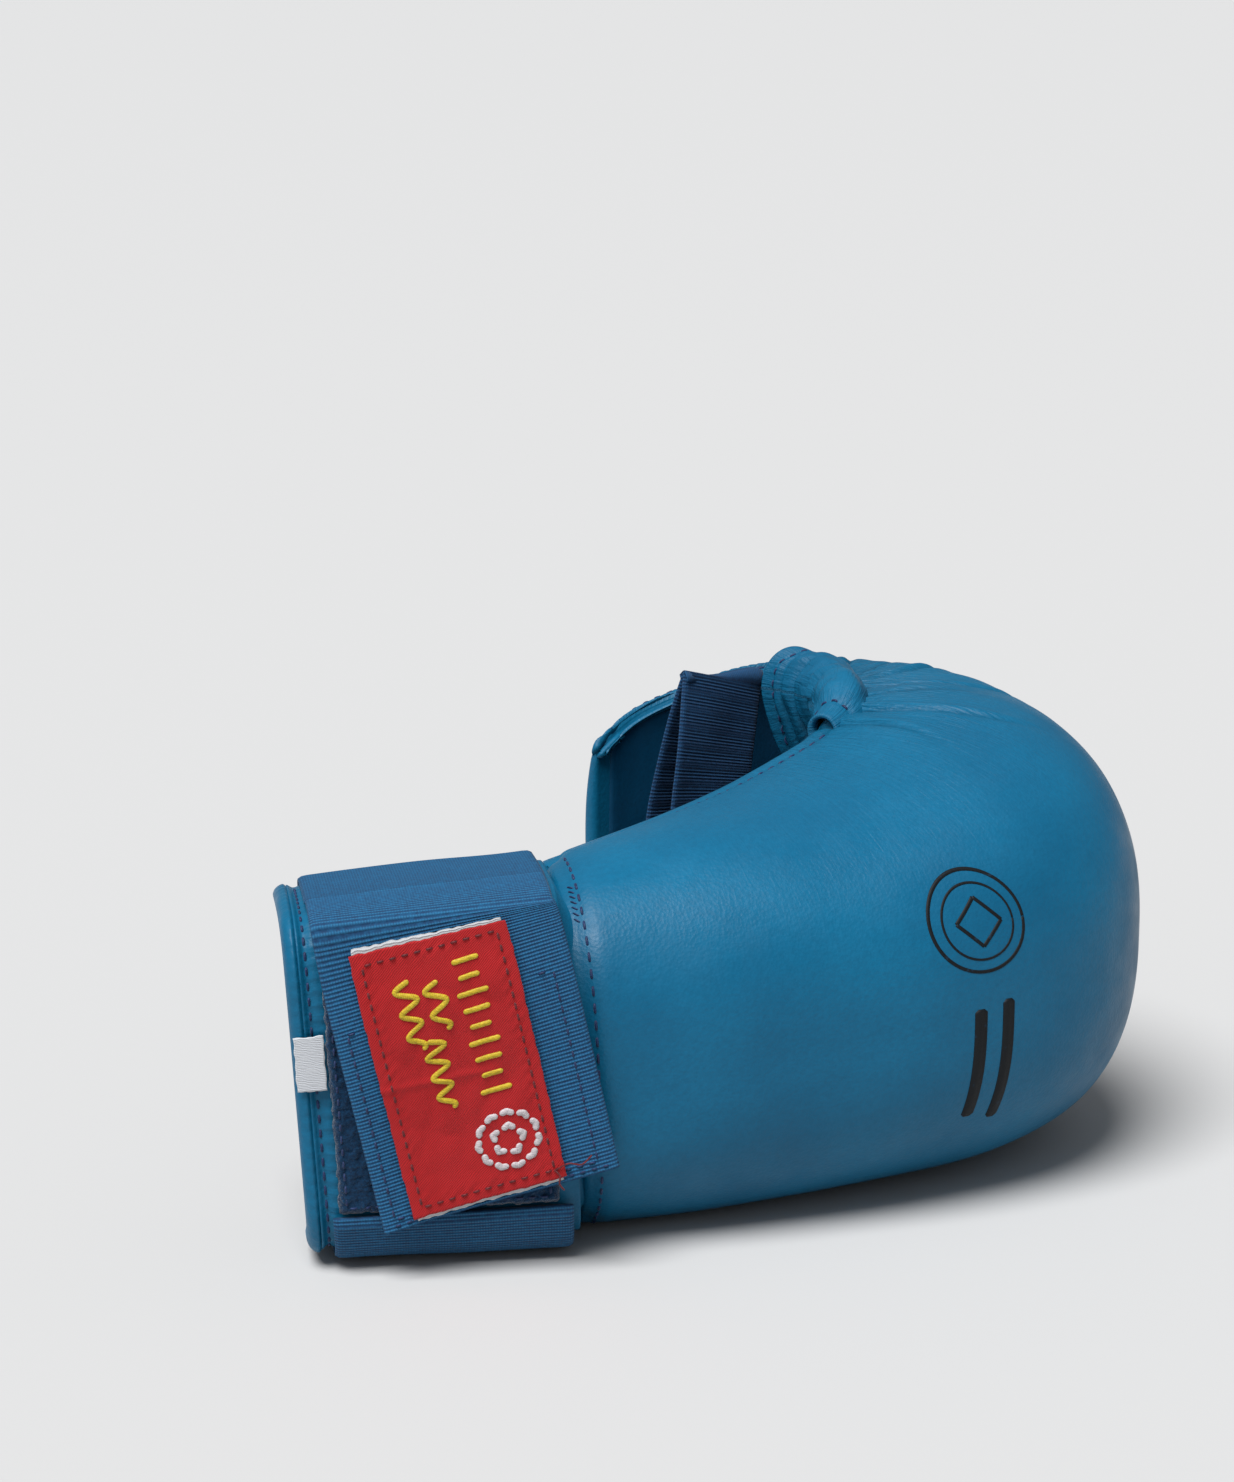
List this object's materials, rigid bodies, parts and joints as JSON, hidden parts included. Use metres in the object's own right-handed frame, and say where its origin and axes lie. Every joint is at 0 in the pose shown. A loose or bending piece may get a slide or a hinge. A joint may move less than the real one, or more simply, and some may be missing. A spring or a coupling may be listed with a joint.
{
  "type": "karate mitt",
  "caption": "Padded karate mitt for the right hand, with a moulded foam pad over the back of the hand, a thumb roll, an elastic finger loop and a wrist strap.",
  "frame": {"origin": "centre of the bounding box's underside, on the surface that the mitt's little-finger side rests on", "axes": "+X from the wrist to the knuckles, +Y from the back of the hand to the palm, +Z from the little finger to the thumb"},
  "size_m": [0.2318, 0.1457, 0.1147],
  "materials": {
    "cover_leather": "soft matte, fine grain, blue artificial leather",
    "foam": "moulded foam",
    "lining": "smooth woven lining, dark blue",
    "elastic": "ribbed woven elastic, blue",
    "hook_and_loop": "dark blue pile and hooks",
    "white_fabric": "white woven tape",
    "red_fabric": "red satin weave",
    "yellow_thread": "yellow embroidery"
  },
  "bodies": {
    "pad": {"outer_cover": "cover_leather", "foam_core": "foam", "hand_lining": "lining", "finger_lining": "lining", "thumb_roll_sleeve": "cover_leather", "thumb_roll_foam": "foam", "finger_loop": "elastic", "finger_loop_tab_thumb_side": "elastic", "finger_loop_tab_little_side": "elastic"},
    "cuff": {"cuff_cover": "cover_leather", "cuff_padding": "foam", "cuff_lining": "lining", "cuff_binding": "cover_leather", "loop_pad": "hook_and_loop", "strap_palm_span": "elastic"},
    "strap_fold": {"strap_fold": "elastic"},
    "strap_tip": {"strap_tip": "elastic", "hook_pad": "hook_and_loop", "label_backing": "white_fabric", "strap_label": "red_fabric", "label_emblem": "white_fabric", "label_motif": "yellow_thread"},
    "size_tag": {"size_tag": "white_fabric"}
  },
  "joints": [
    {"name": "wrist_flex", "type": "hinge", "parent": "pad", "child": "cuff", "pos_m": [-0.05295, -0.0518, 0], "axis": [-0.0698, 0, 0.9976], "range_deg": [0, 35]},
    {"name": "strap_peel_fold", "type": "hinge", "parent": "cuff", "child": "strap_fold", "pos_m": [-0.08347, -0.03101, 0.08607], "axis": [-0.9233, 0.3753, -0.0816], "range_deg": [0, 90]},
    {"name": "strap_peel_tip", "type": "hinge", "parent": "strap_fold", "child": "strap_tip", "pos_m": [-0.08842, -0.04598, 0.08177], "axis": [-0.9206, 0.375, -0.1091], "range_deg": [0, 120]},
    {"name": "size_tag_flip", "type": "hinge", "parent": "cuff", "child": "size_tag", "pos_m": [-0.10921, -0.03201, 0.05054], "axis": [-0.0698, 0, 0.9976], "range_deg": [0, 80]}
  ]
}
